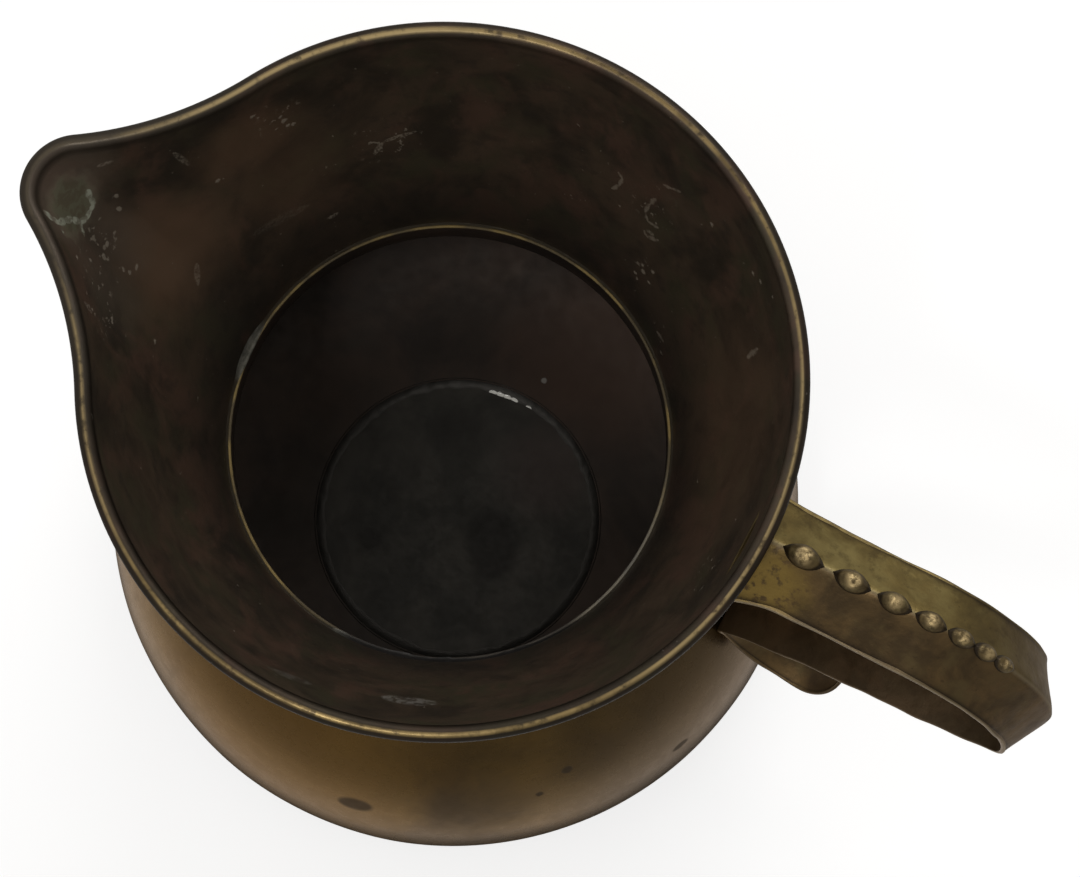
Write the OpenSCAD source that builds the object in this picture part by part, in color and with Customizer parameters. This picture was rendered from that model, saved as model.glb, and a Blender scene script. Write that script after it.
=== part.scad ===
// Brass hot water can: a low, round-bellied can with a narrow neck, an open flared collar
// with a broad spout, a wired rim, and a ridged strap handle with graduated beads.
// The can stands on the plane z = 0 with its axis on z. The handle points along +x and
// the spout along -x.

/* [Rim] */
// Radius of the mouth, from the axis to the middle of the rim wire
rim_r = 85; // [78:1:92]
// Height of the middle of the rim wire above the table
rim_h = 219; // [205:1:235]
// Diameter of the wire inside the rolled rim
wire_d = 2.2; // [1.6:0.1:3]
// How far round the wire the sheet is rolled, in degrees
roll_angle = 255; // [200:5:300]

/* [Spout] */
// Reach of the spout, from the axis to the wire at its tip
spout_reach = 110; // [102:1:118]
// Radius of the spout's nose, to the middle of the wire
nose_r = 12; // [9:1:16]
// Angle on each side of the spout where the rim leaves its circle
spout_angle = 30; // [26:1:36]
// How fast the spout's trough dies away towards the neck
spout_fall = 1.6; // [1.2:0.1:2.4]

/* [Neck] */
// Outside radius of the can's neck
neck_r = 58.8; // [54:0.2:62]
// Height of the neck's top edge above the table
neck_h = 134.5; // [128:0.5:142]
// Height of the neck's straight upright part
neck_tall = 9; // [6:0.5:14]
// Length of the collar's band that laps over the neck
lap = 8; // [4:0.5:10]

/* [Belly] */
// Outside radius of the belly at its widest
belly_r = 101.7; // [95:0.5:108]
// Height of the belly's widest line above the table
belly_h = 33; // [28:1:42]
// Fullness of the shoulder above the belly, as a height over the widest line
shoulder = 37; // [30:1:44]

/* [Base] */
// Radius of the base plate
base_r = 50; // [47:0.5:54]
// Radius of the opening in the body's bottom that the base plate closes
base_hole_r = 43.5; // [40:0.5:45]
// Thickness of the base plate
base_t = 1.2; // [1:0.1:2]

/* [Sheet and solder] */
// Thickness of the body's sheet
body_t = 1.1; // [0.8:0.1:1.5]
// Thickness of the collar's sheet
collar_t = 0.9; // [0.7:0.1:1.2]
// Width of the run of solder on the base plate
base_solder_w = 2.4; // [1.5:0.1:3.5]
// Height of the run of solder on the neck's edge
neck_solder_h = 1.3; // [0.8:0.1:2]
// Gap between pieces that fit round each other
fit = 0.05; // [0.03:0.01:0.1]
// Width of the body's flat seat on the base plate
base_seat = 2; // [1.5:0.1:3]

/* [Handle] */
// Drop of the handle's inner face below the rim wire, at its upper end
handle_drop = 15; // [13:0.5:20]
// Reach of the handle's inner face beyond the rim, at the outer bend
handle_reach = 76.5; // [68:0.5:84]
// Half width of the strap where it spreads against the collar
root_half = 16; // [13:0.5:18]
// Half width of the strap along the grip
grip_half = 12.6; // [11:0.2:14]
// Half width of the strap where it lies on the belly
foot_half = 5.5; // [4.5:0.5:7.5]
// Half width of the strap at the tail, which spreads again before its end is rounded off
tail_half = 9; // [7:0.5:10]
// Height of the ridge over the strap's edges, at its upper end
ridge_h = 9; // [6:0.5:11]
// Height of the ridge over the strap's edges, at the tail
tail_ridge_h = 3.6; // [2.5:0.1:5]
// Thickness of the ridged strap's sheet
strap_t = 1.2; // [1:0.1:1.6]
// Thickness of the flat backing strip
backing_t = 1.3; // [1:0.1:1.8]
// How far the backing strip shows past each edge of the ridged strap
edge_lip = 0.4; // [0.2:0.1:0.8]
// Depth to which the handle's lower end is dressed to the belly
seat = 0.8; // [0.5:0.1:1.2]
// Height above the table at which the handle rests on the belly
foot_h = 78; // [70:1:84]
// How far the tail flicks out from the belly
tail_reach = 35.5; // [30:0.5:39]
// Length along the handle, inwards from its outermost point, over which the grip turns down
bend_in = 34; // [30:1:38]
// Drop from the grip to the handle's outermost point
bend_drop = 42; // [38:1:46]
// How far the handle comes back in below its outermost point before it runs to the belly
waist_in = 41; // [36:1:46]
// Drop from the handle's outermost point to there
waist_drop = 31; // [28:1:34]
// Half width of the strap there
waist_half = 10; // [8.5:0.1:12]
// Drop from where the handle rests on the belly to the tail's tip
tail_drop = 6; // [3:1:9]
// How steeply the tail's end curls up to its tip
tail_curl = 13; // [9:1:16]

/* [Beads] */
// Length of the first bead, along the ridge
bead_l = 8.8; // [7:0.2:10]
// Width of the first bead
bead_w = 5.8; // [4.6:0.2:6.6]
// Distance from the collar to the first bead's middle
bead_start = 13; // [10:0.5:15]
// Distance between the middles of the first two beads
bead_pitch = 12.8; // [12:0.2:14]
// Each distance between two beads, as a share of the one before it
pitch_ratio = 0.87; // [0.86:0.01:0.92]
// Size of each bead, as a share of the one before it
bead_ratio = 0.935; // [0.9:0.005:0.94]

/* [Hidden] */
$fn = 96;

brass = "darkgoldenrod";
bright_brass = "goldenrod";
tin = "lightgray";

wire_r = wire_d / 2;
roll_in = wire_r + fit;
roll_out = roll_in + collar_t;
profile_steps = 14;
wall_steps = 8;
wire_sides = 8;

// Points and directions along a cubic curve given by its four control points
function bez(p, t) = let (u = 1 - t)
    u * u * u * p[0] + 3 * u * u * t * p[1] + 3 * u * t * t * p[2] + t * t * t * p[3];
function bez_run(p, t) = let (u = 1 - t)
    3 * u * u * (p[1] - p[0]) + 6 * u * t * (p[2] - p[1]) + 3 * t * t * (p[3] - p[2]);
function unit(v) = v / norm(v);
// A direction turned a quarter left
function left(v) = [-v[1], v[0]];
function curve(p, n, d = 0) = [
    for (i = [0:n]) bez(p, i / n) + d * left(unit(bez_run(p, i / n)))
];
function back(list) = [for (i = [len(list) - 1:-1:0]) list[i]];
// Radius of a rising curve at height z, found by halving
function r_at(p, z, a = 0, b = 1, n = 24) = let (m = (a + b) / 2)
    n == 0 ? bez(p, m)[0]
    : bez(p, m)[1] < z ? r_at(p, z, m, b, n - 1) : r_at(p, z, a, m, n - 1);

// Outside of the belly, in the plane of radius and height
bowl = [
    [base_r + base_seat, base_t],
    [base_r + base_seat + (belly_r - base_r) * 0.64, base_t],
    [belly_r, belly_h * 0.42],
    [belly_r, belly_h]
];
neck_foot = neck_h - neck_tall;
upper = [
    [belly_r, belly_h],
    [belly_r, belly_h + shoulder],
    [neck_r + shoulder * 0.35, neck_foot - shoulder * 0.7],
    [neck_r, neck_foot]
];

// Inside of the round part of the collar
collar_foot_r = neck_r + fit;
collar_top_r = rim_r - roll_out;
collar_tall = rim_h - neck_h;
flare = [
    [collar_foot_r, neck_h],
    [collar_foot_r + collar_tall * 0.053, neck_h + collar_tall * 0.28],
    [collar_top_r, rim_h - collar_tall * 0.36],
    [collar_top_r, rim_h]
];

// The rim's outline: the round mouth, a hollow flank on each side and the nose of the spout
nose_x = spout_reach - nose_r;
flank_a = (pow(rim_r - nose_r, 2) - nose_x * nose_x)
    / (2 * (rim_r - nose_r - nose_x * cos(spout_angle)));
flank_r = flank_a - rim_r;
flank_c = flank_a * [cos(spout_angle), sin(spout_angle)];
nose_angle = atan2(flank_c[1], flank_c[0] - nose_x);
flank_steps = 10;
nose_steps = 14;
round_steps = 66;

// Points of the rim's outline, moved outwards by d: one flank, the nose, the other flank, and
// the round mouth back to the start
function flank_point(i, d) =
    let (a = 180 + spout_angle + (nose_angle - spout_angle) * i / flank_steps)
    flank_c + (flank_r - d) * [cos(a), sin(a)];
function rim_line(d) = concat(
    [for (i = [0:flank_steps - 1]) flank_point(i, d)],
    [for (i = [0:nose_steps])
        let (a = nose_angle * (1 - 2 * i / nose_steps))
        [nose_x, 0] + (nose_r + d) * [cos(a), sin(a)]],
    [for (i = [flank_steps - 1:-1:0])
        let (p = flank_point(i, d))
        [p[0], -p[1]]],
    [for (i = [1:round_steps - 1])
        let (a = -spout_angle - (360 - 2 * spout_angle) * i / round_steps)
        (rim_r + d) * [cos(a), sin(a)]]
);

// A solid through a row of rings that all have the same number of points. The first half of
// a ring's points runs along one side of its section and the second half runs back. A closed
// row joins its last ring to its first, and any other row ends in two caps.
module loft(rings, closed = false) {
    n = len(rings[0]);
    last = len(rings) - 1;
    caps = closed ? []
        : n == 3 ? [[2, 1, 0]]
        : [for (j = [0:n / 2 - 2]) each [[j, n - 2 - j, j + 1], [j, n - 1 - j, n - 2 - j]]];
    polyhedron(
        points = [for (ring = rings) each ring],
        faces = concat(
            caps,
            [for (cap = caps) [for (j = [2:-1:0]) last * n + cap[j]]],
            [for (i = [0:closed ? last : last - 1], j = [0:n - 1])
                let (m = (i + 1) % (last + 1), k = (j + 1) % n)
                each [[i * n + j, m * n + k, m * n + j], [i * n + j, i * n + k, m * n + k]]]
        ),
        convexity = 6
    );
}

// Body: one raised sheet from the seat of the base plate to the neck's top edge
body_outside = concat(
    [[base_hole_r, base_t]],
    curve(bowl, profile_steps),
    [for (i = [1:profile_steps]) bez(upper, i / profile_steps)],
    [[neck_r, neck_h]]
);
body_inside = concat(
    [[base_hole_r, base_t + body_t]],
    curve(bowl, profile_steps, body_t),
    [for (i = [1:profile_steps])
        bez(upper, i / profile_steps)
            + body_t * left(unit(bez_run(upper, i / profile_steps)))],
    [[neck_r - body_t, neck_foot], [neck_r - body_t, neck_h]]
);

module body() {
    color(brass)
        rotate_extrude()
            polygon(concat(body_outside, back(body_inside)));
}

module base() {
    color(brass)
        cylinder(r = base_r, h = base_t);
}

// Run of solder in the corner between the base plate and the edge of the body's opening
module base_solder() {
    color(tin)
        rotate_extrude()
            polygon([
                [base_hole_r - base_solder_w, base_t],
                [base_hole_r, base_t],
                [base_hole_r, base_t + body_t]
            ]);
}

// Run of solder on the neck's top edge, against the collar
module neck_solder() {
    top = neck_h + neck_solder_h;
    color(tin)
        rotate_extrude()
            polygon([
                [neck_r - body_t * 0.8, neck_h],
                [collar_foot_r - fit, neck_h],
                [r_at(flare, top) - fit, top]
            ]);
}

// The sheet rolled round the wire: one face of the roll, at radius r from the wire's middle
roll_steps = 8;
function roll_face(r) = [
    for (i = [1:roll_steps])
        let (a = 180 - roll_angle * i / roll_steps)
        r * [cos(a), sin(a)]
];

// One face of the collar, from the neck up to the rim and round the roll. Each line of it
// leans out by the reach of the rim there, little near the neck and most at the rim.
function collar_face(from_wire, foot_r, top_r) =
    let (
        line = rim_line(-from_wire),
        roll = [for (p = roll_face(from_wire)) [rim_line(p[0]), rim_h + p[1]]]
    )
    [
        for (i = [0:len(line) - 1])
            let (a = atan2(line[i][1], line[i][0]), more = norm(line[i]) - top_r)
            concat(
                [[foot_r * cos(a), foot_r * sin(a), neck_h - lap]],
                [for (k = [0:wall_steps])
                    let (
                        q = bez(flare, k / wall_steps),
                        r = q[0] + foot_r - collar_foot_r
                            + more * pow(k / wall_steps, spout_fall)
                    )
                    [r * cos(a), r * sin(a), q[1]]],
                [for (level = roll) [level[0][i][0], level[0][i][1], level[1]]]
            )
    ];

// Collar: the neck's band, the flare, the spout and the roll in one sheet
module collar() {
    inner = collar_face(roll_out, collar_foot_r, collar_top_r);
    outer = collar_face(roll_in, collar_foot_r + collar_t, collar_top_r + collar_t);
    color(bright_brass)
        rotate([0, 0, 180])
            loft([for (i = [0:len(inner) - 1]) concat(inner[i], back(outer[i]))], true);
}

module rim_wire() {
    levels = [for (j = [0:wire_sides - 1])
        let (a = -360 * j / wire_sides)
        [rim_line(wire_r * cos(a)), rim_h + wire_r * sin(a)]];
    color(bright_brass)
        rotate([0, 0, 180])
            loft([for (i = [0:len(levels[0][0]) - 1])
                [for (level = levels) [level[0][i][0], level[0][i][1], level[1]]]], true);
}

// The middle line of the handle's inner face, in the plane of the handle
root_h = rim_h - handle_drop;
root_r = r_at(flare, root_h) + collar_t;
foot_r = r_at(upper, foot_h);
foot_dir = unit([r_at(upper, foot_h - 1) - r_at(upper, foot_h + 1), -2]);
bend_r = rim_r + handle_reach;
bend_h = root_h - bend_drop;
grip_len = handle_reach - bend_in;
root = [root_r - 2 * collar_t, root_h];
turn = [bend_r - bend_in, root_h];
bend = [bend_r, bend_h];
waist = [bend_r - waist_in, bend_h - waist_drop];
waist_run = [waist_in, waist_drop] * 0.35;
rest_on = [foot_r - seat, foot_h];
tail_tip = [foot_r + tail_reach, foot_h - tail_drop];
handle_curves = [
    [
        root,
        root + [grip_len * 0.33, 0],
        turn - [grip_len * 0.28, 0],
        turn
    ],
    [
        turn,
        turn + [bend_in * 0.56, 0],
        bend + [0, bend_drop * 0.52],
        bend
    ],
    [
        bend,
        bend - [0, bend_drop * 0.33],
        waist + waist_run,
        waist
    ],
    [
        waist,
        waist - waist_run,
        rest_on - tail_reach * 0.5 * foot_dir,
        rest_on
    ],
    [
        rest_on,
        rest_on + tail_reach * 0.4 * foot_dir,
        tail_tip - [tail_reach * 0.26, tail_curl],
        tail_tip
    ]
];
curve_steps = [9, 14, 11, 12, 14];

function sum_to(list, k) = k < 0 ? 0 : list[k] + sum_to(list, k - 1);
// Half width and ridge height at each joint between the curves, blended evenly between them
half_widths = [grip_half, grip_half, grip_half * 0.97, waist_half, foot_half, tail_half];
ridge_heights = [
    for (i = [0:5]) ridge_h + (tail_ridge_h - ridge_h) * i / 5
];
root_spread = root_half - grip_half;
spread_len = root_half;

// Stations along the handle: place, direction, half width and ridge height
stations = [
    for (c = [0:4], i = [0:curve_steps[c] - (c == 4 ? 0 : 1)])
        let (
            t = i / curve_steps[c],
            p = bez(handle_curves[c], t),
            flared = pow(max(0, 1 - (p[0] - root_r) / spread_len), 2) * (c == 0 ? 1 : 0),
            tip = c == 4 ? sqrt(1 - pow(max(0, t - 0.73) / 0.284, 2)) : 1
        )
        [
            p,
            unit(bez_run(handle_curves[c], t)),
            (half_widths[c] + (half_widths[c + 1] - half_widths[c]) * t) * tip
                + root_spread * flared,
            (ridge_heights[c] + (ridge_heights[c + 1] - ridge_heights[c]) * t) * tip
        ]
];

// A point of a section: y across the handle, n outwards from its inner face
function on_station(s, y, n) = let (p = s[0] + n * left(s[1])) [p[0], y, p[1]];

function roof_ring(s, gap = 0) = [
    on_station(s, -s[2] - gap, backing_t - gap),
    on_station(s, 0, backing_t + s[3] + gap),
    on_station(s, s[2] + gap, backing_t - gap)
];
function strap_ring(s) = let (
        slant = norm([s[2], s[3]]),
        drop = min(strap_t * slant / s[2], s[3] * 0.6),
        inset = min(strap_t * slant / s[3], s[2] * 0.6)
    )
    [
        on_station(s, -s[2], backing_t),
        on_station(s, 0, backing_t + s[3]),
        on_station(s, s[2], backing_t),
        on_station(s, s[2] - inset, backing_t),
        on_station(s, 0, backing_t + s[3] - drop),
        on_station(s, -s[2] + inset, backing_t)
    ];
function backing_ring(s) = [
    on_station(s, -s[2] - edge_lip, 0),
    on_station(s, -s[2] - edge_lip, backing_t),
    on_station(s, s[2] + edge_lip, backing_t),
    on_station(s, s[2] + edge_lip, 0)
];

// The can's outside as a solid, which the handle's ends are cut to
module can_solid() {
    rotate_extrude()
        polygon(concat(
            [[0, base_t]],
            [for (p = body_outside) p + [fit, 0]],
            [[collar_foot_r + collar_t + fit, neck_h - lap]],
            [for (p = curve(flare, profile_steps)) p + [collar_t + fit, 0]],
            [[0, rim_h]]
        ));
}

module handle_strap() {
    color(bright_brass)
        difference() {
            loft([for (s = stations) strap_ring(s)]);
            can_solid();
        }
}

module handle_backing() {
    color(brass)
        difference() {
            loft([for (s = stations) backing_ring(s)]);
            can_solid();
        }
}

// Length along the ridge from the first station to station k
ridge_points = [for (s = stations) s[0] + (backing_t + s[3]) * left(s[1])];
function ridge_len(k) = k <= 0 ? 0 : ridge_len(k - 1) + norm(ridge_points[k] - ridge_points[k - 1]);
ridge_lens = [for (k = [0:len(ridge_points) - 1]) ridge_len(k)];
function station_before(d, k = 0) = ridge_lens[k + 1] > d ? k : station_before(d, k + 1);

function bead_size(i) = pow(bead_ratio, i - 1);
function bead_place(i) = i == 1 ? bead_start
    : bead_place(i - 1) + bead_pitch * pow(pitch_ratio, i - 2);

// Bead i: an oval drop that sits astride the ridge
module bead(i) {
    d = bead_place(i) + 2 * collar_t;
    k = station_before(d);
    f = (d - ridge_lens[k]) / (ridge_lens[k + 1] - ridge_lens[k]);
    p = ridge_points[k] + f * (ridge_points[k + 1] - ridge_points[k]);
    run = unit(ridge_points[k + 1] - ridge_points[k]);
    a = atan2(run[1], run[0]);
    half_l = bead_l * bead_size(i) / 2;
    half_w = bead_w * bead_size(i) / 2;
    steps = 12;
    near = [for (j = [max(0, k - 3):min(len(stations) - 1, k + 4)]) stations[j]];
    color(bright_brass)
        difference() {
            translate([p[0], 0, p[1]])
                rotate([0, 90 - a, 0])
                    rotate_extrude($fn = 32)
                        polygon(concat(
                            [[0, half_l]],
                            [for (j = [1:steps - 1]) let (b = 90 - 180 * j / steps)
                                [half_w * cos(b), half_l * sin(b)]],
                            [[0, -half_l]]
                        ));
            loft([for (s = near) roof_ring(s, fit)]);
        }
}

body();
base();
base_solder();
collar();
rim_wire();
neck_solder();
handle_strap();
handle_backing();
bead(1);  // bead_1
bead(2);  // bead_2
bead(3);  // bead_3
bead(4);  // bead_4
bead(5);  // bead_5
bead(6);  // bead_6
bead(7);  // bead_7
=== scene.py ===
# Looks of the old brass hot water can: sheet metal, solder, beads, patina and wear.
# Lengths are in millimetres until a mesh, a lamp or the camera is made. The can stands on
# z = 0 with its axis on z, its handle on the +x side and its spout on the -x side.
import math

import bpy
import numpy as np
from mathutils import Matrix, Vector, noise


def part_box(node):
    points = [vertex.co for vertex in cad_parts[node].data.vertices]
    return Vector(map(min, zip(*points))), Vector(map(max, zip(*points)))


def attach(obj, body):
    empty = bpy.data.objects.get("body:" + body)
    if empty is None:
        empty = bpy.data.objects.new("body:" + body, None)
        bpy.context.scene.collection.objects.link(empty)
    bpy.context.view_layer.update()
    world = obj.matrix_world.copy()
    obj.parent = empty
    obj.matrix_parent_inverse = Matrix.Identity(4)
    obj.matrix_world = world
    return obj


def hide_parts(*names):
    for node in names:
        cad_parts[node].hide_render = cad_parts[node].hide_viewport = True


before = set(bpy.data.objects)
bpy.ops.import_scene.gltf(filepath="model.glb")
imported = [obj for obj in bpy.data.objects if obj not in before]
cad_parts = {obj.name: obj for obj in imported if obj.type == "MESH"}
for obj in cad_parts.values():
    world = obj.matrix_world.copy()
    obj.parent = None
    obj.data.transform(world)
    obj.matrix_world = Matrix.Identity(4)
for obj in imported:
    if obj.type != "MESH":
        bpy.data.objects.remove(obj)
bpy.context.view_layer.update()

# Sizes
MM = 0.001


def box_mm(node):
    low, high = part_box(node)
    return [v / MM for v in low], [v / MM for v in high]


wire_low, wire_high = box_mm("rim_wire")
body_high = box_mm("body")[1]
base_low, base_high = box_mm("base")

RIM_H = (wire_low[2] + wire_high[2]) / 2
WIRE_R = (wire_high[2] - wire_low[2]) / 2
RIM_R = wire_high[1] - WIRE_R
SPOUT_REACH = -wire_low[0] - WIRE_R
NOSE_R = 12
SPOUT_ANGLE = math.radians(30)
SPOUT_FALL = 1.6
BELLY_R = body_high[1]
BELLY_H = 33
SHOULDER = 37
NECK_H = body_high[2]
NECK_R = 58.8
NECK_TALL = 9
LAP = 8
BASE_R = base_high[0]
BASE_T = base_high[2]
BASE_SEAT = 2
BASE_HOLE_R = 43.5
FIT = 0.05
BODY_T = 1.1
COLLAR_T = 0.9
ROLL_IN = WIRE_R + FIT
ROLL_OUT = ROLL_IN + COLLAR_T
ROLL_ANGLE = math.radians(255)


# Curves
def bezier(points, t):
    """Places along a cubic curve, one for each value in t."""
    p = np.array(points, float)
    t = np.atleast_1d(t)[:, None]
    u = 1 - t
    return u**3 * p[0] + 3 * u * u * t * p[1] + 3 * u * t * t * p[2] + t**3 * p[3]


def bezier_run(points, t):
    """Directions along a cubic curve, of length 1."""
    p = np.array(points, float)
    t = np.atleast_1d(t)[:, None]
    u = 1 - t
    run = u * u * (p[1] - p[0]) + 2 * u * t * (p[2] - p[1]) + t * t * (p[3] - p[2])
    return run / np.linalg.norm(run, axis=1)[:, None]


def left_of(run):
    return np.stack([-run[:, 1], run[:, 0]], axis=1)


def offset_curve(points, count, d):
    t = np.linspace(0, 1, count + 1)
    return bezier(points, t) + d * left_of(bezier_run(points, t))


def radius_at(points, z):
    """Radius of a rising curve at the heights z."""
    line = bezier(points, np.linspace(0, 1, 400))
    return np.interp(z, line[:, 1], line[:, 0])


NECK_FOOT = NECK_H - NECK_TALL
BOWL = [
    [BASE_R + BASE_SEAT, BASE_T],
    [BASE_R + BASE_SEAT + (BELLY_R - BASE_R) * 0.64, BASE_T],
    [BELLY_R, BELLY_H * 0.42],
    [BELLY_R, BELLY_H],
]
UPPER = [
    [BELLY_R, BELLY_H],
    [BELLY_R, BELLY_H + SHOULDER],
    [NECK_R + SHOULDER * 0.35, NECK_FOOT - SHOULDER * 0.7],
    [NECK_R, NECK_FOOT],
]
COLLAR_FOOT_R = NECK_R + FIT
COLLAR_TOP_R = RIM_R - ROLL_OUT
COLLAR_TALL = RIM_H - NECK_H
FLARE = [
    [COLLAR_FOOT_R, NECK_H],
    [COLLAR_FOOT_R + COLLAR_TALL * 0.053, NECK_H + COLLAR_TALL * 0.28],
    [COLLAR_TOP_R, RIM_H - COLLAR_TALL * 0.36],
    [COLLAR_TOP_R, RIM_H],
]


# Unevenness of old sheet metal
def waves(points, size, seed):
    """Smooth noise between -1 and 1 at each point, with bumps about size across."""
    shift = Vector((seed * 17.3, seed * 5.1, seed * 9.7))
    flat = points.reshape(-1, 3) / size
    out = [noise.noise(Vector(p) + shift) for p in flat]
    return np.clip(np.array(out).reshape(points.shape[:-1]) * 1.6, -1, 1)


def smooth_step(x, low, high):
    t = np.clip((np.asarray(x, float) - low) / (high - low), 0, 1)
    return t * t * (3 - 2 * t)


# Meshes
def sheet_of(name, rings, closed=True, caps=False, **marks):
    """A mesh through rows of points in millimetres. Each ring joins its own ends. A closed row
    of rings joins its last ring to its first. marks are named values for every point."""
    count, size = rings.shape[:2]
    faces = []
    for i in range(count if closed else count - 1):
        j = (i + 1) % count
        for k in range(size):
            m = (k + 1) % size
            faces.append((i * size + k, j * size + k, j * size + m, i * size + m))
    if caps:
        faces.append(tuple(reversed(range(size))))
        faces.append(tuple(range((count - 1) * size, count * size)))
    mesh = bpy.data.meshes.new(name)
    mesh.from_pydata((rings.reshape(-1, 3) * MM).tolist(), [], faces)
    for key, values in marks.items():
        layer = mesh.attributes.new(key, "FLOAT", "POINT")
        layer.data.foreach_set("value", np.clip(values, 0, 1).astype(float).ravel())
    mesh.validate()
    mesh.shade_smooth()
    mesh.set_sharp_from_angle(angle=math.radians(50))
    piece = bpy.data.objects.new(name, mesh)
    bpy.context.scene.collection.objects.link(piece)
    turn_outwards(piece)
    return piece


def turn_outwards(piece):
    """Flips every face where the closed mesh came out inside out."""
    mesh = piece.data
    mesh.calc_loop_triangles()
    volume = 0.0
    for tri in mesh.loop_triangles:
        a, b, c = (mesh.vertices[v].co for v in tri.vertices)
        volume += a.dot(b.cross(c))
    if volume < 0:
        mesh.flip_normals()


def stand_for(piece, node, material):
    piece.data.materials.append(material)
    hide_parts(node)
    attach(piece, "root")


# The can's sheet metal
def spun(profile, count):
    """Rings of a profile of radius and height turned about z."""
    a = np.linspace(0, 2 * math.pi, count, endpoint=False)[:, None]
    r, z = profile[:, 0][None, :], profile[:, 1][None, :]
    return np.stack([r * np.cos(a), r * np.sin(a), z + 0 * a], axis=2)


def push_in(rings, depth):
    """Moves points towards the axis by depth."""
    r = np.linalg.norm(rings[:, :, :2], axis=2, keepdims=True)
    moved = rings.copy()
    moved[:, :, :2] *= 1 - depth[:, :, None] / np.maximum(r, 1)
    return moved


def body_piece(material):
    """The raised sheet: seat, belly and neck, with shallow dents and a rounded top edge."""
    steps, lip = 46, 0.3
    outside = np.vstack([
        [[BASE_HOLE_R, BASE_T], [BASE_HOLE_R + 4, BASE_T]],
        offset_curve(BOWL, steps, 0),
        offset_curve(UPPER, steps, 0)[1:],
        [[NECK_R, NECK_H - lip], [NECK_R - lip * 0.3, NECK_H - lip * 0.3]],
        [[NECK_R - lip, NECK_H]],
    ])
    inside = np.vstack([
        [[BASE_HOLE_R, BASE_T + BODY_T], [BASE_HOLE_R + 4, BASE_T + BODY_T]],
        offset_curve(BOWL, steps, BODY_T),
        offset_curve(UPPER, steps, BODY_T)[1:],
        [[NECK_R - BODY_T, NECK_FOOT], [NECK_R - BODY_T, NECK_H - lip]],
        [[NECK_R - BODY_T + lip * 0.3, NECK_H - lip * 0.3]],
        [[NECK_R - BODY_T + lip, NECK_H]],
    ])
    rings = spun(np.vstack([outside, inside[::-1]]), 260)
    z = rings[:, :, 2]
    free = smooth_step(z, 6, 20) * (1 - smooth_step(z, NECK_FOOT - 16, NECK_FOOT - 2))
    dents = 0.13 * (1 + waves(rings, 40, 1)) + 0.05 * (1 + waves(rings, 16, 2))
    within = np.zeros(rings.shape[:2])
    within[:, len(outside) :] = 1
    piece = sheet_of(
        "can_body", push_in(rings, dents * free),
        lip=smooth_step(z, NECK_H - 0.5, NECK_H), inside=within,
    )
    stand_for(piece, "body", material)


NOSE_X = SPOUT_REACH - NOSE_R
FLANK_A = ((RIM_R - NOSE_R) ** 2 - NOSE_X**2) / (
    2 * (RIM_R - NOSE_R - NOSE_X * math.cos(SPOUT_ANGLE))
)
FLANK_R = FLANK_A - RIM_R
FLANK_C = FLANK_A * np.array([math.cos(SPOUT_ANGLE), math.sin(SPOUT_ANGLE)])
NOSE_ANGLE = math.atan2(FLANK_C[1], FLANK_C[0] - NOSE_X)


def rim_line(d, flank=30, nose=46, round_part=210):
    """The rim's outline moved outwards by d, anticlockwise from above, with the spout at -x."""
    a = math.pi + SPOUT_ANGLE + (NOSE_ANGLE - SPOUT_ANGLE) * np.arange(flank) / flank
    side = FLANK_C + (FLANK_R - d) * np.stack([np.cos(a), np.sin(a)], axis=1)
    a = NOSE_ANGLE * (1 - 2 * np.arange(nose + 1) / nose)
    tip = [NOSE_X, 0] + (NOSE_R + d) * np.stack([np.cos(a), np.sin(a)], axis=1)
    a = -SPOUT_ANGLE - (2 * math.pi - 2 * SPOUT_ANGLE) * np.arange(1, round_part) / round_part
    mouth = (RIM_R + d) * np.stack([np.cos(a), np.sin(a)], axis=1)
    line = np.vstack([side, tip, side[::-1] * [1, -1], mouth])
    return -line


BAND_ROWS, WALL_ROWS, ROLL_ROWS = 3, 44, 22


def collar_face(from_wire, foot_r, top_r):
    """One face of the collar, from the foot of its band up to the rim and round the roll."""
    line = rim_line(-from_wire)
    reach = np.linalg.norm(line, axis=1)
    out = line / reach[:, None]
    rows = []
    for z in np.linspace(NECK_H - LAP, NECK_H, BAND_ROWS, endpoint=False):
        rows.append(np.column_stack([out * foot_r, np.full(len(line), z)]))
    for t in np.linspace(0, 1, WALL_ROWS + 1):
        r, z = bezier(FLARE, t)[0]
        r = r + foot_r - COLLAR_FOOT_R + (reach - top_r) * t**SPOUT_FALL
        rows.append(np.column_stack([out * r[:, None], np.full(len(line), z)]))
    for i in range(1, ROLL_ROWS + 1):
        a = math.pi - ROLL_ANGLE * i / ROLL_ROWS
        rim = rim_line(from_wire * math.cos(a))
        z = RIM_H + from_wire * math.sin(a)
        rows.append(np.column_stack([rim, np.full(len(rim), z)]))
    return np.stack(rows, axis=1)


# The way that the most rubbed line of the rolled rim faces. It leans towards the light, so the bright crest is wear and
# also a painted highlight
RUB_AND_HIGHLIGHT_WAY = np.array([0.12, -0.24, 1.0]) / math.hypot(0.12, 0.24, 1.0)


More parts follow.
